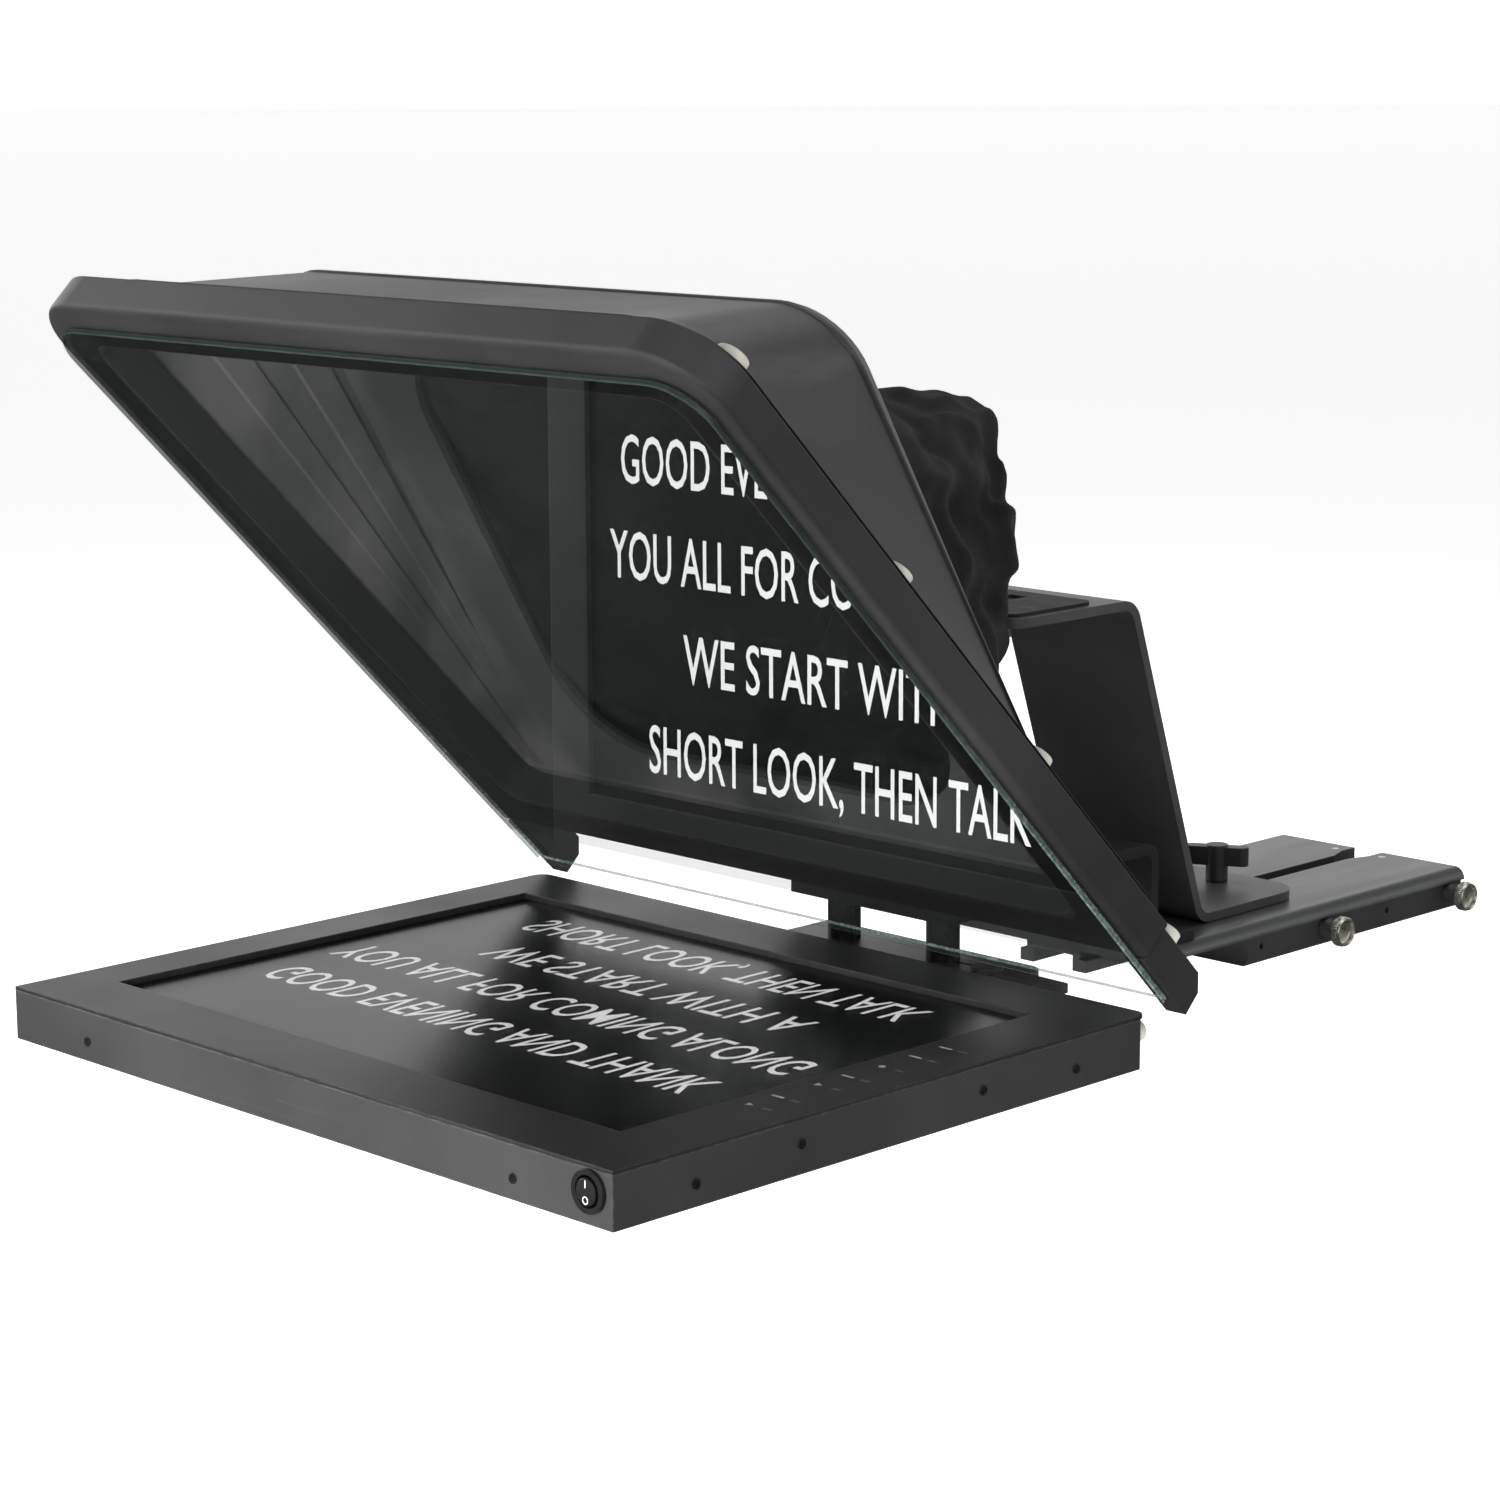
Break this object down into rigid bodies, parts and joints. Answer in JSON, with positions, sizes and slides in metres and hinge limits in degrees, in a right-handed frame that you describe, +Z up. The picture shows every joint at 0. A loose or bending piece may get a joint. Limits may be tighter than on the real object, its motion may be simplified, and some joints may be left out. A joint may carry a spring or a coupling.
{
  "type": "teleprompter",
  "caption": "Beam-splitter teleprompter: flat reading monitor under a 45 degree glass, tapered hood with cloth lens sleeve, sliding deck with camera riser and tripod base.",
  "frame": {"origin": "mouth of the 3/8 in tripod thread, centre of the base's underside", "axes": "+Z up, +Y from the presenter towards the video camera, +X towards the presenter's right-hand side"},
  "size_m": [0.39, 0.7014, 0.357],
  "materials": {
    "anodised_black": "satin black anodised aluminium",
    "zinc_steel": "zinc plated",
    "black_screws": "black oxide",
    "knob_nickel": "satin nickel, knurled",
    "rod_black": "black anodised tube",
    "splitter_glass": "clear beam-splitter coating",
    "black_rubber": "matte",
    "frame_plastic": "fine textured black",
    "nut_ivory": "ivory moulded",
    "hood_plastic": "moulded charcoal, light grain",
    "sleeve_cloth": "black light-tight cloth",
    "elastic_band": "woven elastic",
    "knob_plastic": "moulded black",
    "monitor_case": "fine black powder coat",
    "lcd_steel": "satin grey module frame",
    "screen_surface": "smooth black display surface",
    "circuit_board": "green solder mask",
    "brass_posts": "plain",
    "switch_plastic": "moulded black",
    "rocker_plastic": "moulded black",
    "key_plastic": "moulded black"
  },
  "bodies": {
    "base": {"base_block": "anodised_black", "tripod_plate": "anodised_black", "thread_bush_38": "zinc_steel", "thread_bush_14": "zinc_steel", "plate_screws": "black_screws"},
    "side_knob_front": {"side_knob_front": "knob_nickel"},
    "side_knob_rear": {"side_knob_rear": "knob_nickel"},
    "deck": {"deck_rail": "anodised_black", "stop_screws": "zinc_steel", "hood_bracket": "anodised_black", "bracket_screws": "black_screws", "rod_block_upper": "anodised_black", "rod_left": "rod_black", "rod_right": "rod_black", "hood_mount_block": "anodised_black", "beam_splitter_glass": "splitter_glass", "glass_gasket": "black_rubber", "glass_frame": "frame_plastic", "corner_block_left": "frame_plastic", "corner_block_right": "frame_plastic", "frame_studs": "zinc_steel", "thumb_nuts": "nut_ivory", "hood_shell": "hood_plastic", "hood_rear_panel": "hood_plastic", "sleeve_retainer": "frame_plastic", "lens_sleeve": "sleeve_cloth", "sleeve_elastic": "elastic_band"},
    "riser": {"riser_plate": "anodised_black", "riser_mat": "black_rubber", "clamp_nut": "zinc_steel"},
    "clamp_knob": {"clamp_knob": "knob_plastic"},
    "camera_washer": {"camera_washer": "zinc_steel"},
    "camera_screw": {"camera_screw": "zinc_steel"},
    "monitor": {"monitor_plate": "anodised_black", "rod_block_lower": "anodised_black", "vesa_screws": "black_screws", "monitor_tray": "monitor_case", "monitor_bezel": "monitor_case", "lcd_module": "lcd_steel", "screen_glass": "screen_surface", "driver_board": "circuit_board", "board_standoffs": "brass_posts", "key_board": "circuit_board", "power_switch_housing": "switch_plastic", "tray_screws": "zinc_steel", "rear_thumb_screws": "nut_ivory", "dc_inlet": "switch_plastic", "hdmi_port": "zinc_steel", "vga_port": "zinc_steel"},
    "rod_lock_lever": {"rod_lock_lever": "anodised_black"},
    "power_rocker": {"power_rocker": "rocker_plastic"},
    "osd_key_1": {"osd_key_1": "key_plastic"},
    "osd_key_2": {"osd_key_2": "key_plastic"},
    "osd_key_3": {"osd_key_3": "key_plastic"},
    "osd_key_4": {"osd_key_4": "key_plastic"},
    "osd_key_5": {"osd_key_5": "key_plastic"},
    "osd_key_6": {"osd_key_6": "key_plastic"},
    "osd_key_7": {"osd_key_7": "key_plastic"}
  },
  "joints": [
    {"name": "deck_slide", "type": "slide", "parent": "base", "child": "deck", "axis": [0, 1, 0], "range_m": [-0.06, 0.06]},
    {"name": "side_knob_front_turn", "type": "hinge", "parent": "base", "child": "side_knob_front", "pos_m": [0.0622, -0.025, 0.013], "axis": [1, 0, 0], "range_deg": [0, 360]},
    {"name": "side_knob_rear_turn", "type": "hinge", "parent": "base", "child": "side_knob_rear", "pos_m": [0.0622, 0.078, 0.013], "axis": [1, 0, 0], "range_deg": [0, 360]},
    {"name": "riser_slide", "type": "slide", "parent": "deck", "child": "riser", "axis": [0, 1, 0], "range_m": [-0.008, 0.09]},
    {"name": "clamp_knob_turn", "type": "hinge", "parent": "riser", "child": "clamp_knob", "pos_m": [0, -0.037, 0.035], "axis": [0, 0, 1], "range_deg": [0, 360]},
    {"name": "camera_screw_shift", "type": "slide", "parent": "riser", "child": "camera_washer", "axis": [0, 1, 0], "range_m": [-0.013, 0.013]},
    {"name": "camera_screw_turn", "type": "hinge", "parent": "camera_washer", "child": "camera_screw", "pos_m": [0, -0.205, 0.18], "axis": [0, 0, 1], "range_deg": [0, 360]},
    {"name": "monitor_height", "type": "slide", "parent": "deck", "child": "monitor", "axis": [0, 0, 1], "range_m": [-0.03, 0]},
    {"name": "rod_lock_lever_turn", "type": "hinge", "parent": "monitor", "child": "rod_lock_lever", "pos_m": [0.066, -0.281, 0.044], "axis": [0, 0, 1], "range_deg": [0, 90]},
    {"name": "power_rocker_tilt", "type": "hinge", "parent": "monitor", "child": "power_rocker", "pos_m": [0.1714, -0.6075, 0.0403], "axis": [1, 0, 0], "range_deg": [-9, 9]},
    {"name": "osd_key_1_press", "type": "slide", "parent": "monitor", "child": "osd_key_1", "axis": [0, 0, 1], "range_m": [0, 0.0008], "stiffness_N_per_m": 900},
    {"name": "osd_key_2_press", "type": "slide", "parent": "monitor", "child": "osd_key_2", "axis": [0, 0, 1], "range_m": [0, 0.0008], "stiffness_N_per_m": 900},
    {"name": "osd_key_3_press", "type": "slide", "parent": "monitor", "child": "osd_key_3", "axis": [0, 0, 1], "range_m": [0, 0.0008], "stiffness_N_per_m": 900},
    {"name": "osd_key_4_press", "type": "slide", "parent": "monitor", "child": "osd_key_4", "axis": [0, 0, 1], "range_m": [0, 0.0008], "stiffness_N_per_m": 900},
    {"name": "osd_key_5_press", "type": "slide", "parent": "monitor", "child": "osd_key_5", "axis": [0, 0, 1], "range_m": [0, 0.0008], "stiffness_N_per_m": 900},
    {"name": "osd_key_6_press", "type": "slide", "parent": "monitor", "child": "osd_key_6", "axis": [0, 0, 1], "range_m": [0, 0.0008], "stiffness_N_per_m": 900},
    {"name": "osd_key_7_press", "type": "slide", "parent": "monitor", "child": "osd_key_7", "axis": [0, 0, 1], "range_m": [0, 0.0008], "stiffness_N_per_m": 900}
  ]
}
